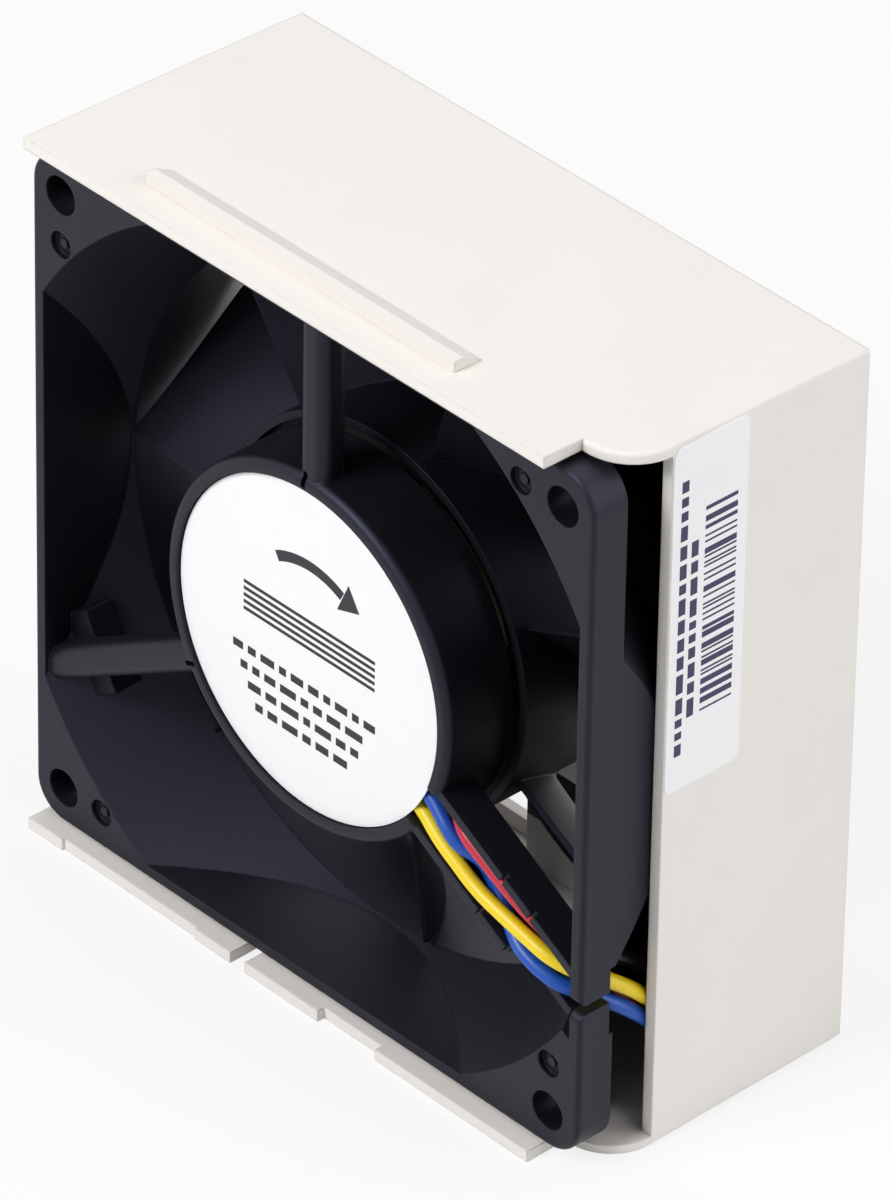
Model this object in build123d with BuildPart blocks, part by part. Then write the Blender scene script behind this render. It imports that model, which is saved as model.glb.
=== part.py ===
from build123d import *
import math
import os

os.makedirs("parts", exist_ok=True)

# A hot-swap chassis cooling fan: an 80 mm axial fan held in a three-sided moulded carrier.
# Millimetres. X points right, Y runs back along the rotor's axis, Z points up.
# The origin is the centre of the fan's front flange face, on the rotor's axis.

# Fan frame: two square flanges on a waisted barrel
frame_width = 80.0
frame_depth = 25.4
flange_thickness = 4.4
flange_corner = 4.0
flange_edge_round = 0.5
hole_edge_distance = 4.25
hole_diameter = 4.3
side_wall = 1.5
barrel_wall = 1.4
throat_margin = 1.7
outlet_reach = 5.0
outlet_depth = 12.0
inlet_flare = 1.3
inlet_depth = 5.0

# Blind witness marks beside the front holes
mark_diameter = 3.0
mark_depth = 0.7
mark_pin_diameter = 1.1
mark_pin_drop = 0.35
mark_offset = 5.75

# Motor base in the middle of the frame's front
base_radius = 20.5
base_front = 0.2
base_plate = 1.4
base_skirt_wall = 1.4
base_skirt_end = 8.8
base_rim_round = 0.9
label_radius = 18.75
label_recess = 0.6
label_thickness = 0.15
label_clearance = 0.15
board_ledge = 1.3
tube_boss_wall = 1.4
tube_boss_height = 2.8

# Struts: two plain ones and one that carries the lead wires in a channel
strut_front = 0.5
strut_width = 3.8
strut_depth = 3.6
strut_round = 1.4
strut_angles = (90.0, 210.0)
foot_front = 3.5
foot_setback = 1.0
foot_width = 9.0
foot_depth = 3.5
strut_slot_radius = 20.0
strut_slot_turn = 1.7
strut_slot_length = 1.8
strut_slot_width = 0.6
strut_slot_depth = 1.2
channel_angle = 330.0
channel_front = 0.5
channel_inner_width = 5.8
channel_inner_depth = 3.4
channel_wall = 1.0
channel_floor = 0.8
channel_notch_width = 0.4
channel_notch_depth = 0.6
channel_notch_radii = (30.3, 34.9)
channel_step_radius = 35.3
channel_step_depth = 1.8

# Way out for the lead wires: slit in the flange, window in the barrel, notch in the rear flange
slit_width = 1.2
slit_edge_round = 0.9
slit_above_exit = 0.7
window_above_exit = 4.2
window_below_exit = 3.8
window_depth = 6.9
window_reach = 9.6
lead_notch_depth = 3.6
lead_notch_width = 4.4

# Lead wires
wire_diameter = 1.6
wire_pitch = 1.72
wire_start_radius = 15.5
lead_inset = 1.7
lead_exit_drop = 0.8
lead_fall_run = 7.0
lead_height = 10.0
lead_row_pitch = 2.6
lead_back_gap = 5.6
lead_bend_x = 28.0
lead_bend_stagger = 0.5
lead_max_bend = 60.0
bend_share = 0.42
wire_root_gap = 0.1

# Impeller
blade_count = 7
blade_tip_clearance = 0.6
blade_front = 11.0
blade_back = 23.2
blade_root_thickness = 1.9
blade_tip_thickness = 1.2
blade_edge_thickness = 0.6
blade_camber = 0.11
blade_turn = 30.8
blade_root_sink = 4.6
blade_trail_angles = (15.0, 15.0, 15.0)
blade_lead_angles = (33.5, 19.5, 9.3)
hub_radius = 21.9
hub_wall = 0.9
hub_front = 9.2
hub_back = 24.0
hub_back_wall = 1.6
hub_back_round = 1.8

# Rotor drive parts inside the hub
yoke_wall = 1.2
yoke_front = 11.0
yoke_clearance = 0.02
magnet_wall = 2.3
magnet_front = 11.4
magnet_length = 9.0
air_gap = 0.4
bush_radius = 4.0
bush_front = 19.3
shaft_radius = 1.5
shaft_front = 2.5
shaft_back = 22.0
shaft_groove_depth = 0.35

# Ball bearings and the tube that holds them
bearing_outer_radius = 4.0
bearing_width = 3.0
bearing_ring_wall = 0.75
bearing_clearance = 0.03
ball_count = 6
ball_radius = 0.72
ball_clearance = 0.05
cage_wall = 0.36
cage_width = 1.9
front_bearing_start = 3.5
rear_bearing_start = 15.0
tube_wall = 1.2
tube_end = 18.4
tube_shoulder = 0.5
press_clearance = 0.02
retaining_ring_radius = 2.6
retaining_ring_thickness = 0.4
retaining_ring_gap = 1.6
spring_radius = 2.5
spring_thickness = 0.25

# Stator and circuit board
pole_count = 4
core_front = 12.0
core_stack = 6.0
core_ring_wall = 2.4
core_arm_width = 4.0
shoe_thickness = 1.8
shoe_span = 72.0
insulator_span = 64.0
insulator_thickness = 0.8
insulator_overhang = 0.25
coil_thickness = 1.5
coil_length = 5.5
coil_clearance = 0.1
board_thickness = 1.0
board_clearance = 0.2
driver_size = (4.4, 5.0, 1.0)
driver_angle = 60.0
sensor_size = (3.0, 2.0, 1.0)
sensor_angle = 90.0
sensor_radius = 16.0
passive_size = (2.0, 1.25, 0.9)
passive_angles = (100.0, 130.0, 160.0, 190.0)
component_radius = 12.5

# Carrier: top plate, right wall and floor in one moulding, open at the left and the back
carrier_left_gap = 1.1
carrier_tail = 9.2
carrier_lip_front = -2.0
carrier_lip_gap = 4.9
carrier_front = 2.9
carrier_wall = 1.3
carrier_clearance = 0.15
carrier_corner = 5.8
carrier_edge_round = 0.45
top_rise_front = 1.9
top_rise_back = 1.0
floor_drop_front = 1.5
floor_drop_back = 0.95
plate_front = 1.3
plate_back = 1.0
rim_height = 2.1
rim_thickness = 1.3
rail_left = -25.0
rail_right = 19.0
rail_front = 1.5
rail_width = 3.6
rail_height = 1.1
rail_flat = 1.2

# Features along the floor's front edge
floor_slot_left = -8.3
floor_slot_right = -6.15
floor_slot_length = 8.0
floor_step_left = 4.7
floor_step_right = 13.1
floor_step_depth = 0.9
floor_relief_left = -33.7
floor_relief_right = -13.6
floor_relief_depth = 0.3

# Corner posts behind the fan, each with a peg in a rear flange hole
post_size = 5.6
peg_clearance = 0.1
peg_length = 3.4
peg_chamfer = 0.5
peg_taper = 40.0

# Docking connector on a shelf at the floor's back edge
dock_left = 0.3
dock_shelf_height = 6.1
dock_width = 12.2
dock_height = 6.4
dock_length = 4.1
dock_key_width = 4.0
dock_key_height = 0.8
dock_foot_width = 8.0
dock_foot_length = 2.4
dock_foot_height = 1.2
dock_fit = 0.05
contact_count = 4
contact_pitch = 2.54
contact_margin = 1.0
contact_width = 1.0
contact_depth = 2.6
contact_recess = 0.4
wire_insert = 2.0

# Sticker on the carrier's right wall
sticker_front = 8.9
sticker_back = 18.7
sticker_height = 40.1
sticker_thickness = 0.12
sticker_corner = 1.0

# Values worked out from the driving dimensions
half_width = frame_width / 2
opening_half = half_width - side_wall
hole_pitch = frame_width - 2 * hole_edge_distance
hole_radius = hole_diameter / 2
throat_radius = half_width - throat_margin
outlet_radius = half_width + outlet_reach
inlet_radius = throat_radius + inlet_flare
foot_inner = throat_radius + foot_setback
blade_tip_radius = throat_radius - blade_tip_clearance
channel_bed = channel_front + channel_inner_depth
channel_back = channel_bed + channel_floor
exit_height = opening_half * math.tan(math.radians(channel_angle))
slit_height = exit_height + slit_above_exit
window_top = exit_height + window_above_exit
window_bottom = exit_height - window_below_exit
window_back = channel_bed + window_depth
label_seat = base_front + label_recess
base_back = label_seat + base_plate
skirt_inner = base_radius - base_skirt_wall
board_front = base_back + board_ledge
board_back = board_front + board_thickness
tube_radius = bearing_outer_radius + bearing_clearance + tube_wall
wire_radius = wire_diameter / 2
lead_x = half_width - lead_inset
lead_exit_z = exit_height - lead_exit_drop
lead_z = lead_height - half_width
lead_turn = frame_depth + lead_back_gap
yoke_radius = hub_radius - hub_wall - yoke_clearance
magnet_radius = yoke_radius - yoke_wall - yoke_clearance
rotor_back_inside = hub_back - hub_back_wall
stator_radius = magnet_radius - magnet_wall - air_gap
core_back = core_front + core_stack
ball_pitch_radius = (bearing_outer_radius - bearing_ring_wall + shaft_radius + bearing_ring_wall) / 2
carrier_left = carrier_left_gap - half_width
carrier_back = frame_depth + carrier_tail
carrier_lip_right = half_width - carrier_lip_gap
top_front = half_width + top_rise_front
top_back = half_width + top_rise_back
floor_front = -half_width - floor_drop_front
floor_back = -half_width - floor_drop_back
sticker_top = top_back
sticker_bottom = sticker_top - sticker_height
wall_inner = half_width + carrier_clearance
wall_outer = wall_inner + carrier_wall
wall_front = carrier_front + carrier_corner
dock_back = carrier_back
dock_front = dock_back - dock_length
dock_right = dock_left + dock_width
rim_top = -half_width + rim_height
dock_base = -half_width + dock_shelf_height
dock_middle = (dock_front + dock_back) / 2
dock_wire_z = dock_base + dock_height / 2
plate_bite = half_width + plate_back / 2
top_rim_height = rim_height + plate_back / 2
post_front = frame_depth + carrier_clearance
post_back = carrier_back - rim_thickness


def front_view(depth):
    """A drawing plane at a depth behind the front face, seen from the front: x right, y up."""
    return Plane.XZ.offset(-depth)


def slope(front_value, back_value, depth):
    """A level that runs straight from the carrier's lip to its back edge."""
    share = (depth - carrier_lip_front) / (carrier_back - carrier_lip_front)
    return front_value + share * (back_value - front_value)


def polar(radius, angle):
    """A point in the front view at an angle from the right, anticlockwise."""
    return (radius * math.cos(math.radians(angle)), radius * math.sin(math.radians(angle)))


def outward_plane(angle, distance, depth=0):
    """A drawing plane facing out from the rotor's axis: x runs back, y runs across."""
    right, up = polar(1, angle)
    return Plane(origin=(distance * right, depth, distance * up), x_dir=(0, 1, 0), z_dir=(right, 0, up))


def revolved(points):
    """Turn a closed outline of (radius, depth) points about the rotor's axis."""
    with BuildPart() as turned:
        with BuildSketch(Plane.XY):
            with BuildLine():
                Polyline(*points, close=True)
            make_face()
        revolve(axis=Axis.Y)
    return turned


def export(piece, name):
    """Label one piece and write it."""
    piece.part.label = name
    export_step(piece.part, f"parts/{name}.step")


# Fan frame blank: the two flanges and the outside of the barrel, still solid
with BuildPart() as frame_blank:
    with BuildSketch(Plane.XY):
        with BuildLine():
            Polyline(
                (0, 0),
                (outlet_radius + barrel_wall, 0),
                (throat_radius + barrel_wall, outlet_depth),
                (throat_radius + barrel_wall, frame_depth - inlet_depth),
                (inlet_radius + barrel_wall, frame_depth),
                (0, frame_depth),
                close=True,
            )
        make_face()
    revolve(axis=Axis.Y)
    with BuildSketch(front_view(0)):
        RectangleRounded(frame_width, frame_width, flange_corner)
    extrude(amount=-frame_depth, mode=Mode.INTERSECT)
    with BuildSketch(front_view(0), front_view(frame_depth - flange_thickness)):
        RectangleRounded(frame_width, frame_width, flange_corner)
    extrude(amount=-flange_thickness)
    front_rim = edges().group_by(Axis.Y)[0]
    fillet(front_rim, flange_edge_round)

# Air passage through the frame: a tapered outlet, a straight throat and a bell-mouth inlet
with BuildPart() as air_passage:
    with BuildSketch(Plane.XY):
        with BuildLine():
            Polyline(
                (throat_radius, frame_depth - inlet_depth),
                (throat_radius, outlet_depth),
                (outlet_radius, 0),
                (outlet_radius, -flange_thickness),
                (0, -flange_thickness),
                (0, frame_depth + flange_thickness),
                (inlet_radius, frame_depth + flange_thickness),
                (inlet_radius, frame_depth),
            )
            throat_end = (throat_radius, frame_depth - inlet_depth)
            TangentArc(throat_end, (inlet_radius, frame_depth), tangent=(0, 1))
        make_face()
    revolve(axis=Axis.Y)
    with BuildSketch(front_view(-flange_thickness)):
        Rectangle(2 * opening_half, 2 * opening_half)
    extrude(amount=-(frame_depth + 2 * flange_thickness), mode=Mode.INTERSECT)

# Struts from the motor base to the barrel, with broader feet at the plain ones' outer ends
with BuildPart() as struts:
    for angle in strut_angles:
        with BuildSketch(outward_plane(angle, skirt_inner)):
            with Locations((strut_front + strut_depth / 2, 0)):
                RectangleRounded(strut_depth, strut_width, strut_round)
        extrude(amount=outlet_radius - skirt_inner)
        with BuildSketch(outward_plane(angle, foot_inner)):
            with Locations((foot_front + foot_depth / 2, 0)):
                Rectangle(foot_depth, foot_width)
        extrude(amount=outlet_radius - foot_inner)
    with BuildSketch(outward_plane(channel_angle, skirt_inner)):
        with Locations(((channel_front + channel_back) / 2, 0)):
            Rectangle(channel_back - channel_front, channel_inner_width + 2 * channel_wall)
    extrude(amount=outlet_radius - skirt_inner)
    with BuildSketch(outward_plane(channel_angle, skirt_inner - side_wall)):
        with Locations((channel_front + channel_inner_depth / 2 - side_wall, 0)):
            Rectangle(channel_inner_depth + 2 * side_wall, channel_inner_width)
    extrude(amount=outlet_radius, mode=Mode.SUBTRACT)
    for radius in channel_notch_radii:
        with BuildSketch(outward_plane(channel_angle, radius)):
            with Locations((channel_front, 0)):
                Rectangle(2 * channel_notch_depth, channel_inner_width + 4 * channel_wall)
        extrude(amount=channel_notch_width, mode=Mode.SUBTRACT)
    with BuildSketch(outward_plane(channel_angle, channel_step_radius)):
        with Locations((channel_front, -channel_inner_width / 2 - channel_wall)):
            Rectangle(2 * channel_step_depth, 2 * channel_wall + side_wall)
    extrude(amount=outlet_radius, mode=Mode.SUBTRACT)
    with BuildSketch(front_view(base_skirt_end)):
        Circle(base_radius)
    extrude(amount=-frame_depth, mode=Mode.SUBTRACT)
    add(frame_blank.part, mode=Mode.INTERSECT)

# Motor base: a shallow cup that carries the label, the circuit board and the bearing tube
with BuildPart() as motor_base:
    with BuildSketch(Plane.XY):
        with BuildLine():
            Polyline(
                (0, label_seat),
                (label_radius + label_clearance, label_seat),
                (label_radius + label_clearance, base_front),
                (base_radius, base_front),
                (base_radius, base_skirt_end),
                (skirt_inner, base_skirt_end),
                (skirt_inner, board_front),
                (skirt_inner - board_ledge, board_front),
                (skirt_inner - board_ledge, base_back),
                (tube_radius + tube_boss_wall, base_back),
                (tube_radius + tube_boss_wall, base_back + tube_boss_height),
                (tube_radius + press_clearance, base_back + tube_boss_height),
                (tube_radius + press_clearance, base_back),
                (0, base_back),
                close=True,
            )
        make_face()
    revolve(axis=Axis.Y)
    rim_edge = edges().filter_by(GeomType.CIRCLE).group_by(Axis.Y)[0].sort_by(SortBy.RADIUS)[-1]
    fillet(rim_edge, base_rim_round)
    with BuildSketch(outward_plane(channel_angle, wire_start_radius)):
        with Locations(((base_front + channel_bed) / 2, 0)):
            Rectangle(channel_bed - base_front, channel_inner_width)
    extrude(amount=2 * (base_radius - wire_start_radius), mode=Mode.SUBTRACT)

# The whole frame
with BuildPart() as fan_frame:
    add(frame_blank.part)
    add(air_passage.part, mode=Mode.SUBTRACT)
    add(struts.part)
    add(motor_base.part)
    with BuildSketch(front_view(0)):
        with GridLocations(hole_pitch, hole_pitch, 2, 2):
            Circle(hole_radius)
    extrude(amount=-frame_depth, mode=Mode.SUBTRACT)
    near_hole = hole_pitch / 2
    beside_hole = near_hole - mark_offset
    mark_places = [
        (-near_hole, beside_hole),
        (beside_hole, near_hole),
        (near_hole, -beside_hole),
        (-beside_hole, -near_hole),
    ]
    with BuildSketch(front_view(0)):
        with Locations(*mark_places):
            Circle(mark_diameter / 2)
    extrude(amount=-mark_pin_drop, mode=Mode.SUBTRACT)
    with BuildSketch(front_view(0)):
        with Locations(*mark_places):
            Circle(mark_diameter / 2)
            Circle(mark_pin_diameter / 2, mode=Mode.SUBTRACT)
    extrude(amount=-mark_depth, mode=Mode.SUBTRACT)
    with BuildSketch(front_view(0)):
        for angle in strut_angles:
            with Locations(polar(strut_slot_radius, angle + strut_slot_turn)):
                Rectangle(strut_slot_length, strut_slot_width, rotation=angle)
    extrude(amount=-strut_slot_depth, mode=Mode.SUBTRACT)
    with BuildSketch(front_view(0)):
        with Locations(polar(channel_step_radius + half_width / 2, channel_angle)):
            Rectangle(half_width, channel_inner_width, rotation=channel_angle)
        Rectangle(2 * opening_half, 2 * opening_half, mode=Mode.INTERSECT)
    extrude(amount=-channel_bed, mode=Mode.SUBTRACT)
    slit_flare = slit_width / 2 + slit_edge_round
    with BuildSketch(Plane.YZ.offset(half_width - 2 * side_wall)):
        with Locations((window_back / 2, slit_height)):
            Rectangle(window_back, slit_width)
        with Locations((0, slit_height)):
            Rectangle(2 * slit_edge_round, 2 * slit_flare)
        with Locations(
            (slit_edge_round, slit_height + slit_flare),
            (slit_edge_round, slit_height - slit_flare),
        ):
            Circle(slit_edge_round, mode=Mode.SUBTRACT)
    extrude(amount=4 * side_wall, mode=Mode.SUBTRACT)
    with BuildSketch(front_view(channel_bed)):
        with Locations((half_width, (window_top + window_bottom) / 2)):
            Rectangle(2 * window_reach, window_top - window_bottom)
    extrude(amount=-window_depth, mode=Mode.SUBTRACT)
    with BuildSketch(front_view(frame_depth - flange_thickness)):
        with Locations((half_width, lead_z)):
            Rectangle(2 * lead_notch_depth, lead_notch_width)
    extrude(amount=-flange_thickness, mode=Mode.SUBTRACT)
export(fan_frame, "fan_frame")

# Round label in the motor base's recess
with BuildPart() as motor_label:
    with BuildSketch(front_view(label_seat)):
        Circle(label_radius)
    extrude(amount=label_thickness)
export(motor_label, "motor_label")


# One impeller blade, lofted through three cambered sections that twist flatter towards the tip
blade_planes = (hub_radius - blade_root_sink, (hub_radius + blade_tip_radius) / 2, blade_tip_radius)
blade_thicknesses = (
    blade_root_thickness,
    (blade_root_thickness + blade_tip_thickness) / 2,
    blade_tip_thickness,
)
with BuildPart() as blade:
    for distance, trail_angle, lead_angle, thickness in zip(
        blade_planes, blade_trail_angles, blade_lead_angles, blade_thicknesses
    ):
        trail = Vector(-distance * math.tan(math.radians(trail_angle)), blade_front)
        lead = Vector(distance * math.tan(math.radians(lead_angle)), blade_back)
        chord = lead - trail
        normal = Vector(-chord.Y, chord.X).normalized()
        crown = (trail + lead) * 0.5 + normal * (blade_camber * chord.length)
        edge = normal * (blade_edge_thickness / 2)
        half = normal * (thickness / 2)
        with BuildSketch(Plane.XY.offset(distance)):
            with BuildLine():
                ThreePointArc(trail - edge, crown - half, lead - edge)
                Line(lead - edge, lead + edge)
                ThreePointArc(lead + edge, crown + half, trail + edge)
                Line(trail + edge, trail - edge)
            make_face()
    loft()
    Cylinder(blade_tip_radius, 4 * frame_depth, rotation=(90, 0, 0), mode=Mode.INTERSECT)
    Cylinder(hub_radius - hub_wall / 2, 4 * frame_depth, rotation=(90, 0, 0), mode=Mode.SUBTRACT)

# Impeller: a hub cup, open towards the motor base, with seven blades
with BuildPart() as impeller:
    with BuildSketch(Plane.XY):
        with BuildLine():
            Polyline(
                (0, rotor_back_inside),
                (hub_radius - hub_wall, rotor_back_inside),
                (hub_radius - hub_wall, hub_front),
                (hub_radius, hub_front),
                (hub_radius, hub_back),
                (0, hub_back),
                close=True,
            )
        make_face()
    revolve(axis=Axis.Y)
    back_edge = edges().filter_by(GeomType.CIRCLE).group_by(Axis.Y)[-1].sort_by(SortBy.RADIUS)[-1]
    fillet(back_edge, hub_back_round)
    for index in range(blade_count):
        add(blade.part.rotate(Axis.Y, blade_turn + index * 360 / blade_count))
export(impeller, "impeller")


# Steel yoke cup inside the hub, and the ring magnet inside the yoke
yoke_back = rotor_back_inside - yoke_clearance
rotor_yoke = revolved([
    (bush_radius + yoke_clearance, yoke_back),
    (yoke_radius, yoke_back),
    (yoke_radius, yoke_front),
    (yoke_radius - yoke_wall, yoke_front),
    (yoke_radius - yoke_wall, yoke_back - yoke_wall),
    (bush_radius + yoke_clearance, yoke_back - yoke_wall),
])
export(rotor_yoke, "rotor_yoke")
rotor_magnet = revolved([
    (magnet_radius, magnet_front),
    (magnet_radius, magnet_front + magnet_length),
    (magnet_radius - magnet_wall, magnet_front + magnet_length),
    (magnet_radius - magnet_wall, magnet_front),
])
export(rotor_magnet, "rotor_magnet")

# Brass bush that joins the shaft to the hub, and the shaft with its groove for the retaining ring
shaft_bush = revolved([
    (shaft_radius + yoke_clearance, bush_front),
    (bush_radius, bush_front),
    (bush_radius, rotor_back_inside),
    (0, rotor_back_inside),
    (0, shaft_back),
    (shaft_radius + yoke_clearance, shaft_back),
])
export(shaft_bush, "shaft_bush")
groove_back = front_bearing_start
groove_front = groove_back - retaining_ring_thickness - 2 * press_clearance
shaft = revolved([
    (0, shaft_front),
    (shaft_radius, shaft_front),
    (shaft_radius, groove_front),
    (shaft_radius - shaft_groove_depth, groove_front),
    (shaft_radius - shaft_groove_depth, groove_back),
    (shaft_radius, groove_back),
    (shaft_radius, shaft_back),
    (0, shaft_back),
])
export(shaft, "shaft")

# Split ring in the shaft's groove, in front of the front bearing
with BuildPart() as retaining_ring:
    with BuildSketch(front_view(groove_back - press_clearance)):
        Circle(retaining_ring_radius)
        Circle(shaft_radius - shaft_groove_depth + press_clearance, mode=Mode.SUBTRACT)
        with Locations((0, -retaining_ring_radius / 2)):
            Rectangle(retaining_ring_gap, retaining_ring_radius, mode=Mode.SUBTRACT)
    extrude(amount=retaining_ring_thickness)
export(retaining_ring, "retaining_ring")

# Dished spring washer between the bush and the rear bearing's inner ring
rear_bearing_end = rear_bearing_start + bearing_width
spring_inner = shaft_radius + bearing_clearance
preload_spring = revolved([
    (spring_inner, rear_bearing_end + press_clearance),
    (spring_inner, rear_bearing_end + press_clearance + spring_thickness),
    (spring_radius, bush_front - press_clearance),
    (spring_radius, bush_front - press_clearance - spring_thickness),
])
export(preload_spring, "preload_spring")

# Tube that holds both bearings, with a shoulder between them
bearing_seat = bearing_outer_radius + bearing_clearance
front_bearing_end = front_bearing_start + bearing_width
bearing_tube = revolved([
    (bearing_seat, base_back),
    (tube_radius, base_back),
    (tube_radius, tube_end),
    (bearing_seat, tube_end),
    (bearing_seat, rear_bearing_start),
    (bearing_seat - tube_shoulder, rear_bearing_start),
    (bearing_seat - tube_shoulder, front_bearing_end),
    (bearing_seat, front_bearing_end),
])
export(bearing_tube, "bearing_tube")

# Two ball bearings, each an outer ring, an inner ring, a cage and balls
groove_radius = ball_radius + ball_clearance
for place, start in (("front", front_bearing_start), ("rear", rear_bearing_start)):
    ball_depth = start + bearing_width / 2
    with BuildPart() as ball_groove:
        with BuildSketch(Plane.XY):
            with Locations((ball_pitch_radius, ball_depth)):
                Circle(groove_radius)
        revolve(axis=Axis.Y)
    with BuildPart() as outer_ring:
        add(revolved([
            (bearing_outer_radius - bearing_ring_wall, start),
            (bearing_outer_radius, start),
            (bearing_outer_radius, start + bearing_width),
            (bearing_outer_radius - bearing_ring_wall, start + bearing_width),
        ]).part)
        add(ball_groove.part, mode=Mode.SUBTRACT)
    export(outer_ring, f"{place}_bearing_outer_ring")
    with BuildPart() as inner_ring:
        add(revolved([
            (shaft_radius + press_clearance, start),
            (shaft_radius + bearing_ring_wall, start),
            (shaft_radius + bearing_ring_wall, start + bearing_width),
            (shaft_radius + press_clearance, start + bearing_width),
        ]).part)
        add(ball_groove.part, mode=Mode.SUBTRACT)
    export(inner_ring, f"{place}_bearing_inner_ring")
    with BuildPart() as balls:
        with Locations(front_view(ball_depth)):
            with PolarLocations(ball_pitch_radius, ball_count):
                Sphere(ball_radius)
    export(balls, f"{place}_bearing_balls")
    with BuildPart() as cage:
        with BuildSketch(front_view(ball_depth - cage_width / 2)):
            Circle(ball_pitch_radius + cage_wall / 2)
            Circle(ball_pitch_radius - cage_wall / 2, mode=Mode.SUBTRACT)
        extrude(amount=-cage_width)
        with Locations(front_view(ball_depth)):
            with PolarLocations(ball_pitch_radius, ball_count):
                Cylinder(groove_radius, 2 * cage_wall, rotation=(0, 90, 0), mode=Mode.SUBTRACT)
    export(cage, f"{place}_bearing_cage")

# Stator core: laminated steel, four poles on a ring around the bearing tube
pole_angles = [360 / pole_count * (index + 0.5) for index in range(pole_count)]
core_ring_radius = tube_radius + core_ring_wall
shoe_inner = stator_radius - shoe_thickness


def pole_outline(ring_radius, arm_width, shoe_radius, shoe_inner_radius, span):
    """Ring with an arm and a curved shoe for each pole, drawn in the open sketch."""
    Circle(ring_radius)
    for pole_angle in pole_angles:
        with BuildSketch(mode=Mode.PRIVATE) as shoe:
            Circle(shoe_radius)
            Circle(shoe_inner_radius, mode=Mode.SUBTRACT)
            half_span = span / 2
            reach = 2 * shoe_radius
            wedge = [(0, 0), polar(reach, -half_span), (reach, 0), polar(reach, half_span)]
            with BuildLine():
                Polyline(*wedge, close=True)
            make_face(mode=Mode.INTERSECT)
        add(shoe.sketch, rotation=pole_angle)
        with Locations(polar((ring_radius + shoe_inner_radius) / 2, pole_angle)):
            Rectangle(shoe_inner_radius - ring_radius + shoe_thickness, arm_width, rotation=pole_angle)


with BuildPart() as stator_core:
    with BuildSketch(front_view(core_front)):
        pole_outline(core_ring_radius, core_arm_width, stator_radius, shoe_inner, shoe_span)
        Circle(tube_radius + press_clearance, mode=Mode.SUBTRACT)
    extrude(amount=-core_stack)
export(stator_core, "stator_core")

# Insulating end plates on the stator's two faces
insulator_arm = core_arm_width + 2 * insulator_overhang
insulator_radius = stator_radius - air_gap
for place, start in (("front", core_front - insulator_thickness), ("rear", core_back)):
    with BuildPart() as insulator:
        with BuildSketch(front_view(start)):
            pole_outline(core_ring_radius, insulator_arm, insulator_radius, shoe_inner, insulator_span)
            Circle(tube_radius + press_clearance, mode=Mode.SUBTRACT)
        extrude(amount=-insulator_thickness)
    export(insulator, f"stator_insulator_{place}")

# Four copper coils, one wound round each pole
coil_inner_width = insulator_arm + 2 * coil_clearance
coil_inner_height = core_stack + 2 * insulator_thickness + 2 * coil_clearance
coil_start = core_ring_radius + coil_clearance
coil_outer_width = coil_inner_width + 2 * coil_thickness
coil_outer_height = coil_inner_height + 2 * coil_thickness
with BuildPart() as stator_coils:
    for pole_angle in pole_angles:
        with BuildSketch(outward_plane(pole_angle, coil_start, core_front + core_stack / 2)):
            RectangleRounded(coil_outer_height, coil_outer_width, coil_thickness)
            Rectangle(coil_inner_height, coil_inner_width, mode=Mode.SUBTRACT)
        extrude(amount=min(coil_length, shoe_inner - coil_start - coil_clearance))
export(stator_coils, "stator_coils")

# Ring-shaped circuit board on its ledge, with the driver, sensor and passives
with BuildPart() as circuit_board:
    with BuildSketch(front_view(board_front)):
        Circle(skirt_inner - board_clearance)
        Circle(tube_radius + tube_boss_wall + board_clearance, mode=Mode.SUBTRACT)
        with Locations(polar(wire_start_radius - board_clearance + base_radius / 2, channel_angle)):
            Rectangle(base_radius, channel_inner_width, rotation=channel_angle, mode=Mode.SUBTRACT)
    extrude(amount=-board_thickness)
export(circuit_board, "circuit_board")

with BuildPart() as board_components:
    with BuildSketch(front_view(board_front)):
        with Locations(polar(component_radius, driver_angle)):
            Rectangle(driver_size[0], driver_size[1])
    extrude(amount=driver_size[2])
    with BuildSketch(front_view(board_front)):
        for passive_angle in passive_angles:
            with Locations(polar(component_radius, passive_angle)):
                Rectangle(passive_size[0], passive_size[1])
    extrude(amount=passive_size[2])
    with BuildSketch(front_view(board_back)):
        with Locations(polar(sensor_radius, sensor_angle)):
            Rectangle(sensor_size[0], sensor_size[1])
    extrude(amount=-sensor_size[2])
export(board_components, "board_components")

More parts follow.
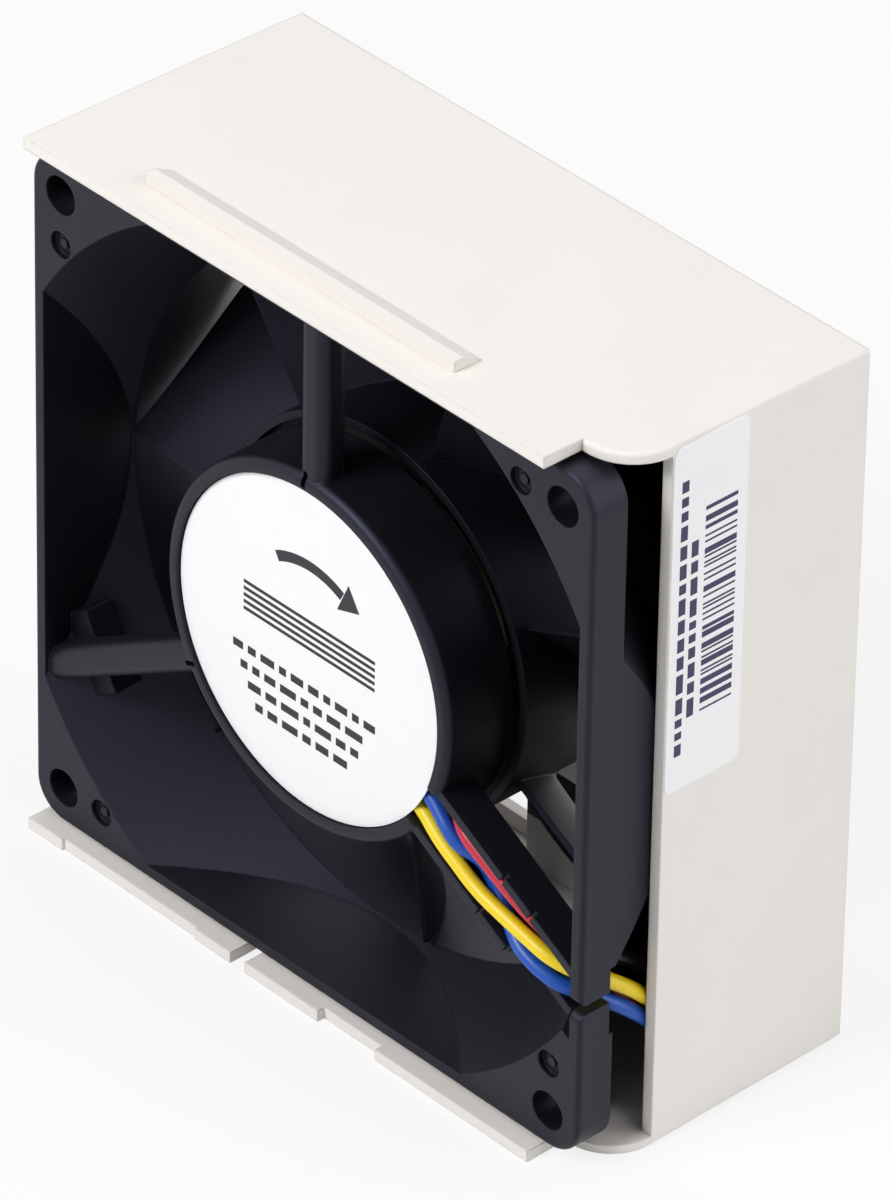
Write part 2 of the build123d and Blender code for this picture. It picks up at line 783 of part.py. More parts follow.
# Carrier shell: plates that taper a little towards the back, joined by the right wall
with BuildPart() as carrier_shell:
    with BuildSketch(Plane.YZ.offset(carrier_left)):
        with BuildLine():
            Polyline(
                (carrier_lip_front, top_front - plate_front),
                (carrier_lip_front, top_front),
                (carrier_back, top_back),
                (carrier_back, top_back - plate_back),
                close=True,
            )
        make_face()
        with BuildLine():
            Polyline(
                (carrier_lip_front, floor_front + plate_front),
                (carrier_lip_front, floor_front),
                (carrier_back, floor_back),
                (carrier_back, floor_back + plate_back),
                close=True,
            )
        make_face()
    extrude(amount=wall_outer - carrier_left)
    with BuildSketch(Plane.YZ.offset(wall_inner)):
        with BuildLine():
            Polyline(
                (wall_front, slope(floor_front, floor_back, wall_front)),
                (wall_front, slope(top_front, top_back, wall_front)),
                (carrier_back, top_back),
                (carrier_back, floor_back),
                close=True,
            )
        make_face()
    extrude(amount=carrier_wall)
    with BuildSketch(Plane.XY):
        with Locations((carrier_lip_right, carrier_front)):
            Rectangle(frame_width, frame_width, align=(Align.MIN, Align.MAX))
    extrude(amount=frame_width, both=True, mode=Mode.SUBTRACT)
    plate_corners = edges().filter_by(Axis.Z).group_by(Axis.X)[-1].group_by(Axis.Y)[0]
    fillet(plate_corners, carrier_corner)
    right_edges = edges().group_by(Axis.X)[-1].filter_by(Axis.Z, reverse=True)
    fillet([edge for edge in right_edges if edge.length > carrier_corner], carrier_edge_round)
    with BuildSketch(front_view(post_back)):
        with Locations((carrier_left, rim_top)):
            Rectangle(wall_inner - carrier_left, rim_top - floor_back, align=(Align.MIN, Align.MAX))
        with Locations((carrier_left, half_width - rim_height)):
            Rectangle(wall_inner - carrier_left, top_rim_height, align=(Align.MIN, Align.MIN))
        with Locations((wall_inner, 0)):
            Rectangle(rim_height, frame_width, align=(Align.MAX, Align.CENTER))
    extrude(amount=-rim_thickness)
    rail_back = rail_front + rail_width
    with BuildSketch(Plane.YZ.offset(rail_left)):
        with BuildLine():
            Polyline(
                (rail_front, top_back),
                (rail_front, top_front + rail_height),
                (rail_front + rail_flat, top_front + rail_height),
                (rail_back, slope(top_front, top_back, rail_back)),
                (rail_back, top_back),
                close=True,
            )
        make_face()
    extrude(amount=rail_right - rail_left)
    with BuildSketch(Plane.XY.offset(floor_back + plate_back)):
        with Locations((floor_slot_left, carrier_lip_front)):
            Rectangle(floor_slot_right - floor_slot_left, floor_slot_length, align=Align.MIN)
        with Locations((floor_step_left, carrier_lip_front)):
            Rectangle(floor_step_right - floor_step_left, floor_step_depth, align=Align.MIN)
        with Locations((floor_relief_left, carrier_lip_front)):
            Rectangle(floor_relief_right - floor_relief_left, floor_relief_depth, align=Align.MIN)
    extrude(amount=floor_front - floor_back - plate_back, mode=Mode.SUBTRACT)
    post_inner = hole_pitch / 2 - post_size / 2
    with BuildSketch(front_view(post_front)):
        for side in (-1, 1):
            with Locations((side * hole_pitch / 2, post_inner)):
                Rectangle(post_size, plate_bite - post_inner, align=(Align.CENTER, Align.MIN))
            with Locations((side * hole_pitch / 2, -post_inner)):
                Rectangle(post_size, plate_bite - post_inner, align=(Align.CENTER, Align.MAX))
    extrude(amount=post_front - carrier_back)
    with BuildSketch(front_view(post_front)):
        with GridLocations(hole_pitch, hole_pitch, 2, 2):
            Circle(hole_radius - peg_clearance)
    extrude(amount=peg_length + carrier_clearance)
    with BuildSketch(front_view(frame_depth - peg_length)):
        with GridLocations(hole_pitch, hole_pitch, 2, 2):
            Circle(hole_radius - peg_clearance)
    extrude(amount=peg_chamfer, taper=peg_taper)
    with BuildSketch(front_view(dock_front)):
        with Locations((dock_left, dock_base)):
            Rectangle(dock_width, plate_bite + dock_base, align=(Align.MIN, Align.MAX))
    extrude(amount=-dock_length)
    with BuildSketch(Plane.XY.offset(dock_base)):
        with Locations((dock_left + dock_width / 2, dock_middle)):
            Rectangle(dock_foot_width + 2 * dock_fit, dock_foot_length + 2 * dock_fit)
    extrude(amount=-dock_foot_height - dock_fit, mode=Mode.SUBTRACT)
export(carrier_shell, "carrier_shell")

# Docking connector: a four-way housing whose foot sits in the shelf's pocket
contact_x = [dock_left + contact_margin + index * contact_pitch for index in range(contact_count)]
with BuildPart() as dock_connector:
    with BuildSketch(front_view(dock_front)):
        with Locations((dock_left, dock_base)):
            Rectangle(dock_width, dock_height, align=Align.MIN)
        with Locations((dock_left + dock_width / 2, dock_base + dock_height)):
            Rectangle(dock_key_width, dock_key_height, align=(Align.CENTER, Align.MIN))
    extrude(amount=-dock_length)
    with BuildSketch(Plane.XY.offset(dock_base)):
        with Locations((dock_left + dock_width / 2, dock_middle)):
            Rectangle(dock_foot_width, dock_foot_length)
    extrude(amount=-dock_foot_height)
    with BuildSketch(front_view(dock_back)):
        with Locations(*[(x, dock_wire_z) for x in contact_x]):
            Rectangle(contact_width + 2 * dock_fit, contact_width + 2 * dock_fit)
    extrude(amount=contact_depth, mode=Mode.SUBTRACT)
    with BuildSketch(Plane.YZ.offset(dock_right)):
        with Locations((dock_middle, dock_wire_z)):
            with GridLocations(wire_pitch, wire_pitch, 2, 2):
                Circle(wire_radius + press_clearance)
    extrude(amount=-wire_insert, mode=Mode.SUBTRACT)
export(dock_connector, "dock_connector")

# Four contacts, set back a little in the housing
with BuildPart() as dock_contacts:
    with BuildSketch(front_view(dock_back - contact_recess)):
        with Locations(*[(x, dock_wire_z) for x in contact_x]):
            Rectangle(contact_width, contact_width)
    extrude(amount=contact_depth - contact_recess)
export(dock_contacts, "dock_contacts")

# Sticker on the carrier's right wall
with BuildPart() as carrier_label:
    with BuildSketch(Plane.YZ.offset(wall_outer)):
        with Locations(((sticker_front + sticker_back) / 2, (sticker_bottom + sticker_top) / 2)):
            RectangleRounded(sticker_back - sticker_front, sticker_top - sticker_bottom, sticker_corner)
    extrude(amount=sticker_thickness)
export(carrier_label, "carrier_label")


def in_channel(along, across, depth):
    """A point in the wire channel: out from the axis, across the channel, behind the front face."""
    outward = polar(along, channel_angle)
    sideways = polar(across, channel_angle + 90)
    return (outward[0] + sideways[0], depth, outward[1] + sideways[1])


# Four lead wires: out along the channel, through the window, down and back past the rear flange to the dock.
# Each has its own way along the channel, then a place in a square bundle: outer or inner, upper or lower.
wire_step = wire_pitch / 2
wire_root = wire_start_radius + wire_root_gap
channel_ways = {
    "yellow": [
        (wire_root, -1.95, 1.75), (19.5, -2.0, 1.72), (22.5, -2.0, 1.25), (29, -1.9, 1.15), (34, -0.4, 1.1),
        (40, 1.0, 1.5),
    ],
    "blue": [
        (wire_root, 0.4, 1.75), (19.5, 0.45, 1.72), (22.5, 0.05, 1.3), (24.3, -0.35, 1.45), (27, -0.5, 3.0),
        (30.5, -2.0, 3.0), (35.5, -2.05, 1.3), (38, -1.8, 1.2), (41, -1.4, 1.8),
    ],
    "red": [(wire_root, 2.0, 3.05), (20.5, 2.05, 3.05), (24, 1.7, 1.4), (33, 1.9, 1.6), (38.5, 1.2, 3.05)],
    "black": [
        (wire_root, -0.75, 3.05), (20, -0.7, 3.05), (25, 1.3, 3.05), (31, 0.5, 3.05), (36.7, -1.2, 3.05),
    ],
}
exit_depths = {"yellow": 6.6, "blue": 6.6, "red": 8.3, "black": 10.6}
bundle_places = {"yellow": (1, 1), "blue": (1, -1), "red": (-1, -1), "black": (-1, 1)}
for colour, way in channel_ways.items():
    outer, upper = bundle_places[colour]
    x = lead_x + outer * wire_step
    row = upper * lead_row_pitch / 2
    dock_y = dock_middle + outer * wire_step
    dock_z = dock_wire_z + upper * wire_step
    points = [in_channel(*place) for place in way]
    points.append((x, exit_depths[colour], lead_exit_z + row))
    points.append((x, exit_depths[colour] + lead_fall_run, lead_z + row))
    points.append((x, lead_turn + outer * wire_step, lead_z + row))
    points.append((lead_bend_x - upper * lead_bend_stagger, dock_y, dock_z))
    points.append((dock_right - wire_insert, dock_y, dock_z))
    radii = []
    for before, corner, after in zip(points, points[1:], points[2:]):
        arriving = Vector(*corner) - Vector(*before)
        leaving = Vector(*after) - Vector(*corner)
        turn = math.radians(arriving.get_angle(leaving))
        shorter = min(arriving.length, leaving.length)
        radii.append(min(bend_share * shorter / math.tan(turn / 2), lead_max_bend))
    with BuildPart() as lead_wire:
        with BuildLine() as route:
            FilletPolyline(*points, radius=radii)
        with BuildSketch(Plane(origin=route.line @ 0, z_dir=route.line % 0)):
            Circle(wire_radius)
        sweep()
    export(lead_wire, f"wire_{colour}")
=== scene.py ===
import math
import random

import bmesh
import bpy
from mathutils import Matrix, Vector


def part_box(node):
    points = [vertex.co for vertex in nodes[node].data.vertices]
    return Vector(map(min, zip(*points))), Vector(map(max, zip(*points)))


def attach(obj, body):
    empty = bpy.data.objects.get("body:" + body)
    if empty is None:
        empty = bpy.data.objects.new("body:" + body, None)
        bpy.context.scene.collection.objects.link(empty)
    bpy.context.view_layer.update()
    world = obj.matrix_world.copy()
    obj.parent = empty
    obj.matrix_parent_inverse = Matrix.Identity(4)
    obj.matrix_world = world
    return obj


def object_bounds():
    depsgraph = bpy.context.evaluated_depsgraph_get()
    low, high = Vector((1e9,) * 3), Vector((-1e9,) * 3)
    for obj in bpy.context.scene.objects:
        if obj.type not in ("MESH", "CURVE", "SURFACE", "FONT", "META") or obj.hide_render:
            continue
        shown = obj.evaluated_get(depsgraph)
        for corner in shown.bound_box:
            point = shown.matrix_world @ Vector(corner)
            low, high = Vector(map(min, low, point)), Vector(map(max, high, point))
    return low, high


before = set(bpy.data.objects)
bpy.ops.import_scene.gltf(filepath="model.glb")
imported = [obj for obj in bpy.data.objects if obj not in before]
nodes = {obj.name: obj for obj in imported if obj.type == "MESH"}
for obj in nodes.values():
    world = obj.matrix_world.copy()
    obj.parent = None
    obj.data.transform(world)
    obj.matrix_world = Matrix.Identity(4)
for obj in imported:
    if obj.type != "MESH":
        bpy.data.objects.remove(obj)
cad_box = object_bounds()

# Fan frame: one moulding with two square flanges, a flared barrel, a motor base, two struts and a channel
# for the wires. Glass-filled PBT from a spark-eroded mould.
# The eye sees near black with a cool haze where light grazes it.
frame_hex = "131318"
frame_shade_hex = "0F0F13"
frame_haze = (0.66, 0.68, 1.0, 1.0)
no_tint = (1.0, 1.0, 1.0, 1.0)
MM = 0.001


def linear(hex_colour):
    """An sRGB hex colour as linear RGBA."""
    channels = [int(hex_colour[i:i + 2], 16) / 255 for i in (0, 2, 4)]
    return [c / 12.92 if c <= 0.04045 else ((c + 0.055) / 1.055) ** 2.4 for c in channels] + [1.0]


def add_node(tree, kind, inputs=None, **settings):
    """A shader node with its settings. An input is a value, or the output socket that feeds it."""
    node = tree.nodes.new(kind)
    for name, value in settings.items():
        setattr(node, name, value)
    for name, value in (inputs or {}).items():
        if isinstance(value, bpy.types.NodeSocket):
            tree.links.new(value, node.inputs[name])
        else:
            node.inputs[name].default_value = value
    return node


def new_finish(name):
    """An empty finish: the material, its node tree, its shader, and the place on the piece in metres."""
    material = bpy.data.materials.new(name)
    material.use_nodes = True
    tree = material.node_tree
    place = add_node(tree, "ShaderNodeTexCoord").outputs["Object"]
    return material, tree, tree.nodes["Principled BSDF"], place


def noise(tree, place, size_mm, detail):
    """The value of a soft noise whose patches are about size_mm across."""
    scale = 1 / (size_mm * MM)
    pattern = add_node(tree, "ShaderNodeTexNoise", {"Vector": place, "Scale": scale, "Detail": detail})
    return pattern.outputs["Fac"]


def moulded_plastic(
    name, colour, shade, roughness, grain_mm, grain_depth_mm, edge_mm, shine=0.5, haze=no_tint
):
    """Injection-moulded plastic: a fine spark-eroded grain, slow drifts of colour and gloss, soft edges."""
    material, tree, surface, place = new_finish(name)
    drift_mm = 14.0
    gloss_drift = 0.06
    drift = noise(tree, place, drift_mm, 3.0)
    grain = noise(tree, place, grain_mm, 2.0)
    tone = add_node(
        tree, "ShaderNodeMix",
        {"Factor": drift, "A": linear(colour), "B": linear(shade)},
        data_type="RGBA",
    )
    gloss = add_node(
        tree, "ShaderNodeMapRange",
        {"Value": drift, "To Min": roughness - gloss_drift, "To Max": roughness + gloss_drift},
    )
    soft_edge = add_node(tree, "ShaderNodeBevel", {"Radius": edge_mm * MM}, samples=6)
    bump = add_node(
        tree, "ShaderNodeBump",
        {
            "Strength": 0.5, "Distance": grain_depth_mm * MM, "Height": grain,
            "Normal": soft_edge.outputs["Normal"],
        },
    )
    tree.links.new(tone.outputs["Result"], surface.inputs["Base Color"])
    tree.links.new(gloss.outputs["Result"], surface.inputs["Roughness"])
    tree.links.new(bump.outputs["Normal"], surface.inputs["Normal"])
    surface.inputs["Specular IOR Level"].default_value = shine
    surface.inputs["Specular Tint"].default_value = haze
    return material


def finish_node(name, material):
    """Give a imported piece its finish."""
    slots = nodes[name].data.materials
    slots.clear()
    slots.append(material)


frame_pbt = moulded_plastic(
    "pbt_charcoal_spark_eroded", frame_hex, frame_shade_hex,
    roughness=0.46, grain_mm=0.22, grain_depth_mm=0.012, edge_mm=0.25, shine=0.35, haze=frame_haze,
)
finish_node("fan_frame", frame_pbt)

# Bearing tube, its two ball bearings and the cages: pressed into the motor base before the rotor goes in.
# The tube and cages are turned brass with fine lathe rings, the races and balls are ground bearing steel.
wave_radians = 20  # that the wave pattern runs through for each unit of its scale
brass_hex = "C9A24B"
bearing_steel_hex = "C4C6CB"


def turned_metal(name, colour, roughness, ring_mm, ring_depth_mm):
    """Metal turned or ground about the rotor's axis: fine rings along its length and slow stains."""
    material, tree, surface, place = new_finish(name)
    rings = add_node(
        tree, "ShaderNodeTexWave",
        {
            "Vector": place, "Scale": 2 * math.pi / (wave_radians * ring_mm * MM),
            "Distortion": 0.6, "Detail": 1.0,
        },
        wave_type="BANDS", bands_direction="Y",
    )
    stain_mm = 3.0
    stain = noise(tree, place, stain_mm, 3.0)
    gloss = add_node(
        tree, "ShaderNodeMapRange",
        {"Value": stain, "To Min": roughness - 0.05, "To Max": roughness + 0.08},
    )
    bump = add_node(
        tree, "ShaderNodeBump",
        {"Strength": 0.4, "Distance": ring_depth_mm * MM, "Height": rings.outputs["Fac"]},
    )
    surface.inputs["Base Color"].default_value = linear(colour)
    surface.inputs["Metallic"].default_value = 1.0
    tree.links.new(gloss.outputs["Result"], surface.inputs["Roughness"])
    tree.links.new(bump.outputs["Normal"], surface.inputs["Normal"])
    return material


turned_brass = turned_metal("brass_turned", brass_hex, roughness=0.28, ring_mm=0.25, ring_depth_mm=0.01)
ground_steel = turned_metal(
    "bearing_steel_ground", bearing_steel_hex, roughness=0.16, ring_mm=0.1, ring_depth_mm=0.003
)
finish_node("bearing_tube", turned_brass)
for end in ("front", "rear"):
    finish_node(f"{end}_bearing_outer_ring", ground_steel)
    finish_node(f"{end}_bearing_inner_ring", ground_steel)
    finish_node(f"{end}_bearing_balls", ground_steel)
    finish_node(f"{end}_bearing_cage", turned_brass)

# Stator core: a stack of stamped electrical-steel sheets, each half a millimetre thick.
# The eye sees grey metal with dark lines between the sheets.
sheet_mm = 0.5
core_hex = "7C7D80"
core_gap_hex = "3A3A3D"
core_steel, tree, surface, place = new_finish("electrical_steel_laminated")
sheets = add_node(
    tree, "ShaderNodeTexWave",
    {"Vector": place, "Scale": 2 * math.pi / (wave_radians * sheet_mm * MM), "Distortion": 0.1},
    wave_type="BANDS", bands_direction="Y", wave_profile="SAW",
)
sheet_tone = add_node(
    tree, "ShaderNodeMix",
    {"Factor": sheets.outputs["Fac"], "A": linear(core_gap_hex), "B": linear(core_hex)},
    data_type="RGBA",
)
sheet_bump = add_node(
    tree, "ShaderNodeBump", {"Strength": 0.5, "Distance": 0.04 * MM, "Height": sheets.outputs["Fac"]}
)
tree.links.new(sheet_tone.outputs["Result"], surface.inputs["Base Color"])
tree.links.new(sheet_bump.outputs["Normal"], surface.inputs["Normal"])
surface.inputs["Metallic"].default_value = 1.0
surface.inputs["Roughness"].default_value = 0.42
finish_node("stator_core", core_steel)

# Insulating end plates: natural nylon moulded to the stator's outline, one on each face of the core.
# The eye sees a milky white with a slight gloss.
nylon_white = moulded_plastic(
    "nylon_natural_moulded", "E4DFCF", "D9D3C0",
    roughness=0.4, grain_mm=0.4, grain_depth_mm=0.01, edge_mm=0.15,
)
finish_node("stator_insulator_front", nylon_white)
finish_node("stator_insulator_rear", nylon_white)

# Coils: enamelled copper wire wound in rows round each pole.
# The wire is drawn at 0.4 mm, about twice its real thickness, so that its turns show.
turn_mm = 0.4
copper_hex = "B2622C"
# The darker copper is painted shade for the grooves between the turns.
copper_painted_shade_hex = "7E3A14"
copper_wire, tree, surface, place = new_finish("copper_wire_enamelled")
across = add_node(tree, "ShaderNodeVectorMath", {0: place}, operation="LENGTH")
turn_angle = add_node(
    tree, "ShaderNodeMath", {0: across.outputs["Value"], 1: 2 * math.pi / (turn_mm * MM)},
    operation="MULTIPLY",
)
turns = add_node(tree, "ShaderNodeMath", {0: turn_angle.outputs[0]}, operation="SINE")
turn_height = add_node(tree, "ShaderNodeMapRange", {"Value": turns.outputs[0], "From Min": -1.0})
# The colour runs from bright copper on each turn's crest to darker copper in the groove between turns:
# painted shade in the grooves.
turn_painted_shade_tone = add_node(
    tree, "ShaderNodeMix",
    {"Factor": turn_height.outputs["Result"], "A": linear(copper_painted_shade_hex), "B": linear(copper_hex)},
    data_type="RGBA",
)
turn_bump = add_node(
    tree, "ShaderNodeBump", {"Strength": 0.8, "Distance": 0.1 * MM, "Height": turn_height.outputs["Result"]}
)
tree.links.new(turn_painted_shade_tone.outputs["Result"], surface.inputs["Base Color"])
tree.links.new(turn_bump.outputs["Normal"], surface.inputs["Normal"])
surface.inputs["Metallic"].default_value = 0.7
surface.inputs["Roughness"].default_value = 0.3
finish_node("stator_coils", copper_wire)

# Driver board: glass-epoxy laminate under green solder mask, with copper tracks that show through it.
# The parts on it are black moulded epoxy.
mask_hex = "0F5A2C"
track_hex = "2F8748"
track_mm = 1.3
board_laminate, tree, surface, place = new_finish("glass_epoxy_green_mask")
tracks = add_node(
    tree, "ShaderNodeTexVoronoi", {"Vector": place, "Scale": 1 / (track_mm * MM)},
    feature="DISTANCE_TO_EDGE",
)
track_mask = add_node(
    tree, "ShaderNodeMapRange", {"Value": tracks.outputs["Distance"], "From Min": 0.10, "From Max": 0.16}
)
track_tone = add_node(
    tree, "ShaderNodeMix",
    {"Factor": track_mask.outputs["Result"], "A": linear(mask_hex), "B": linear(track_hex)},
    data_type="RGBA",
)
track_bump = add_node(
    tree, "ShaderNodeBump", {"Strength": 0.4, "Distance": 0.03 * MM, "Height": track_mask.outputs["Result"]}
)
tree.links.new(track_tone.outputs["Result"], surface.inputs["Base Color"])
tree.links.new(track_bump.outputs["Normal"], surface.inputs["Normal"])
surface.inputs["Roughness"].default_value = 0.28
finish_node("circuit_board", board_laminate)
epoxy_black = moulded_plastic(
    "epoxy_black_moulded", "1D1D20", "151517",
    roughness=0.5, grain_mm=0.12, grain_depth_mm=0.01, edge_mm=0.1,
)
finish_node("board_components", epoxy_black)

# Rotor drive parts: a phosphated yoke cup, a ring of bonded ferrite, a brass bush and a ground shaft.
# The split ring and the dished washer are blued spring steel.
phosphate = turned_metal("steel_black_phosphated", "2E2F33", roughness=0.5, ring_mm=0.6, ring_depth_mm=0.006)
spring_steel = turned_metal("spring_steel_blued", "5A5E68", roughness=0.32, ring_mm=0.3, ring_depth_mm=0.004)
ferrite = moulded_plastic(
    "ferrite_bonded_matt", "2A2A2C", "202022",
    roughness=0.62, grain_mm=0.15, grain_depth_mm=0.02, edge_mm=0.15,
)
finish_node("rotor_yoke", phosphate)
finish_node("rotor_magnet", ferrite)
finish_node("shaft_bush", turned_brass)
finish_node("shaft", ground_steel)
finish_node("retaining_ring", spring_steel)
finish_node("preload_spring", spring_steel)

# Impeller: the hub cup and seven twisted blades in one moulding.
# PBT with a broader and shallower grain than the frame's. The eye sees near black with soft reflections.
impeller_pbt = moulded_plastic(
    "pbt_black_fine_mould", "0D0D11", "0A0A0E",
    roughness=0.5, grain_mm=0.45, grain_depth_mm=0.006, edge_mm=0.2, shine=0.25, haze=frame_haze,
)
finish_node("impeller", impeller_pbt)

# Motor label: a round white polyester film in the motor base's recess, with a generic print.
# The ink stands two hundredths of a millimetre proud: a turning arrow, ruled lines and plain blocks.
film_hex = "F3F3F5"
ink_hex = "1B1A22"
ink_mm = 0.02


def printed_film(name, colour, roughness):
    """Printed polyester film: smooth, with a faint ripple from the glue under it."""
    material, tree, surface, place = new_finish(name)
    ripple_mm = 5.0
    ripple = noise(tree, place, ripple_mm, 2.0)
    bump = add_node(
        tree, "ShaderNodeBump", {"Strength": 0.3, "Distance": 0.03 * MM, "Height": ripple}
    )
    gloss = add_node(
        tree, "ShaderNodeMapRange",
        {"Value": ripple, "To Min": roughness - 0.05, "To Max": roughness + 0.05},
    )
    surface.inputs["Base Color"].default_value = linear(colour)
    tree.links.new(bump.outputs["Normal"], surface.inputs["Normal"])
    tree.links.new(gloss.outputs["Result"], surface.inputs["Roughness"])
    return material


def print_shapes(name, outlines, on_label, ink_finish):
    """One ink layer: each outline is a list of (right, up) points in millimetres on the label's face."""
    ink = bmesh.new()
    for outline in outlines:
        ink.faces.new([ink.verts.new(on_label(right, up, 0)) for right, up in outline])
    raised = bmesh.ops.extrude_face_region(ink, geom=ink.faces[:])
    lift = on_label(0, 0, ink_mm) - on_label(0, 0, 0)
    raised_corners = [v for v in raised["geom"] if isinstance(v, bmesh.types.BMVert)]
    bmesh.ops.translate(ink, vec=lift, verts=raised_corners)
    bmesh.ops.recalc_face_normals(ink, faces=ink.faces[:])
    mesh = bpy.data.meshes.new(name)
    ink.to_mesh(mesh)
    ink.free()
    layer = bpy.data.objects.new(name, mesh)
    bpy.context.scene.collection.objects.link(layer)
    mesh.materials.append(ink_finish)
    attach(layer, "housing")


def bar(left, bottom, right, top):
    """A printed rectangle."""
    return [(left, bottom), (right, bottom), (right, top), (left, top)]


def arc_band(inner, outer, start, end, steps):
    """A printed arc, as short four-sided pieces."""
    pieces = []
    for step in range(steps):
        a = math.radians(start + (end - start) * step / steps)
        b = math.radians(start + (end - start) * (step + 1) / steps)
        pieces.append([
            (inner * math.cos(a), inner * math.sin(a)), (outer * math.cos(a), outer * math.sin(a)),
            (outer * math.cos(b), outer * math.sin(b)), (inner * math.cos(b), inner * math.sin(b)),
        ])
    return pieces


white_film = printed_film("polyester_film_white", film_hex, roughness=0.36)
black_ink = printed_film("printing_ink_black", ink_hex, roughness=0.5)
finish_node("motor_label", white_film)
label_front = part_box("motor_label")[0][1]
label_print = arc_band(inner=9.4, outer=10.6, start=62, end=118, steps=20)
label_print.append([(5.6, 10.6), (4.0, 7.0), (7.2, 8.0)])
line_reach, line_bottom, line_top, line_pitch = 9.5, 3.2, 3.6, 0.8
for row in range(5):
    down = line_pitch * row
    label_print.append(bar(-line_reach, line_bottom - down, line_reach, line_top - down))
block_left, block_right, block_bottom, block_top = -11.0, 9.0, -5.0, -4.1
block_pitch, block_inset, block_gap = 2.1, 1.1, 0.7
rows = random.Random(7)
for row in range(4):
    down = block_pitch * row
    left = block_left + block_inset * row
    while left < block_right - block_inset * row:
        width = rows.uniform(0.9, 2.6)
        label_print.append(bar(left, block_bottom - down, left + width, block_top - down))
        left += width + block_gap
print_shapes(
    "motor_label_print", label_print,
    lambda right, up, lift: Vector((right * MM, label_front - lift * MM, up * MM)), black_ink,
)

# Carrier shell: one moulding with a top plate, a right wall and a floor, open at the left and the back.
# Warm white ABS from a fine-textured mould, with crisp edges broken by a small radius.
carrier_hex = "ECE8E4"
carrier_shade_hex = "E7E2DC"
carrier_abs = moulded_plastic(
    "abs_warm_white_moulded", carrier_hex, carrier_shade_hex,
    roughness=0.6, grain_mm=0.35, grain_depth_mm=0.015, edge_mm=0.3, shine=0.3,
)
finish_node("carrier_shell", carrier_abs)

# Ejector marks: round witness marks that the mould's pins leave on the carrier's inner face.
# Each is a shallow ring of the same plastic, and the three stand on the wall behind the fan.
mark_radius = 2.2 * MM
mark_line = 0.18 * MM
mark_height = 0.06 * MM
mark_steps = 40
wall_gap = 0.15 * MM
mark_setback = 4.2 * MM
wall_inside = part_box("fan_frame")[1][0] + wall_gap
mark_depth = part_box("fan_frame")[1][1] + mark_setback


def ejector_mark(name, centre, inward):
    """A raised ring around a flat pin mark, on a face whose inward normal is given."""
    side = inward.orthogonal().normalized()
    other = inward.cross(side)
    ring = bmesh.new()
    profile = [
        (mark_radius - mark_line, -mark_height), (mark_radius - 0.6 * mark_line, mark_height),
        (mark_radius - 0.4 * mark_line, mark_height), (mark_radius, -mark_height),
    ]
    loops = []
    for step in range(mark_steps):
        angle = 2 * math.pi * step / mark_steps
        out = side * math.cos(angle) + other * math.sin(angle)
        loops.append([ring.verts.new(centre + out * radius + inward * lift) for radius, lift in profile])
    for loop, after in zip(loops, loops[1:] + loops[:1]):
        for i in range(len(profile)):
            j = (i + 1) % len(profile)
            ring.faces.new((loop[i], loop[j], after[j], after[i]))
    bmesh.ops.recalc_face_normals(ring, faces=ring.faces[:])
    mesh = bpy.data.meshes.new(name)
    ring.to_mesh(mesh)
    ring.free()
    mark = bpy.data.objects.new(name, mesh)
    bpy.context.scene.collection.objects.link(mark)
    mesh.materials.append(carrier_abs)
    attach(mark, "housing")


for number, height in enumerate((-22, 0, 22)):
    mark_centre = Vector((wall_inside, mark_depth, height * MM))
    ejector_mark(f"ejector_mark_wall_{number}", mark_centre, Vector((-1, 0, 0)))

# Docking connector: a black nylon housing with four square contacts, its foot pressed into the shelf.
# The contacts are tin-plated brass, stamped and bright.
connector_nylon = moulded_plastic(
    "nylon_black_moulded", "1C1B1B", "141313",
    roughness=0.48, grain_mm=0.2, grain_depth_mm=0.01, edge_mm=0.15,
)
contact_plate = turned_metal("brass_tin_plated", "C9C0A8", roughness=0.25, ring_mm=0.3, ring_depth_mm=0.004)
finish_node("dock_connector", connector_nylon)
finish_node("dock_contacts", contact_plate)

# Lead wires: four leads of stranded copper under soft PVC, yellow, blue, red and black.
# Slightly glossy, with a faintly uneven skin where the strands press through.
wire_hexes = {"yellow": "F2D41A", "blue": "0A4CB0", "red": "C01B3A", "black": "161618"}
strand_mm = 0.9
for colour, hex_colour in wire_hexes.items():
    insulation, tree, surface, place = new_finish(f"pvc_insulation_{colour}")
    skin = noise(tree, place, strand_mm, 2.0)
    gloss = add_node(tree, "ShaderNodeMapRange", {"Value": skin, "To Min": 0.30, "To Max": 0.46})
    bump = add_node(tree, "ShaderNodeBump", {"Strength": 0.3, "Distance": 0.03 * MM, "Height": skin})
    surface.inputs["Base Color"].default_value = linear(hex_colour)
    tree.links.new(gloss.outputs["Result"], surface.inputs["Roughness"])
    tree.links.new(bump.outputs["Normal"], surface.inputs["Normal"])
    finish_node(f"wire_{colour}", insulation)

# Sticker on the carrier's wall: gloss white film with a plain bar field and ruled rows.
# The bars come from a seeded draw and spell nothing.
indigo_ink = printed_film("printing_ink_indigo", "2C2950", roughness=0.5)
finish_node("carrier_label", white_film)
sticker_low, sticker_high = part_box("carrier_label")
sticker_face = sticker_high[0]
sticker_middle = (sticker_low[1] + sticker_high[1]) / 2 / MM
sticker_print = []
bars = random.Random(21)
bar_left, bar_right, bar_start, bar_end = -0.6, 3.6, 9.0, 33.0
bar_widths = (0.22, 0.22, 0.44, 0.66)
bar_gaps = (0.22, 0.44, 0.44, 0.66)
up = bar_start
while up < bar_end:
    width = bars.choice(bar_widths)
    sticker_print.append(bar(bar_left, up, bar_right, up + width))
    up += width + bars.choice(bar_gaps)
row_half, row_gap = 0.45, 0.6
for row_middle, row_start, row_end in ((-3.4, 5.0, 36.5), (-1.9, 9.0, 28.0)):
    up = row_start
    while up < row_end:
        length = bars.uniform(0.8, 2.2)
        sticker_print.append(bar(row_middle - row_half, up, row_middle + row_half, up + length))
        up += length + row_gap
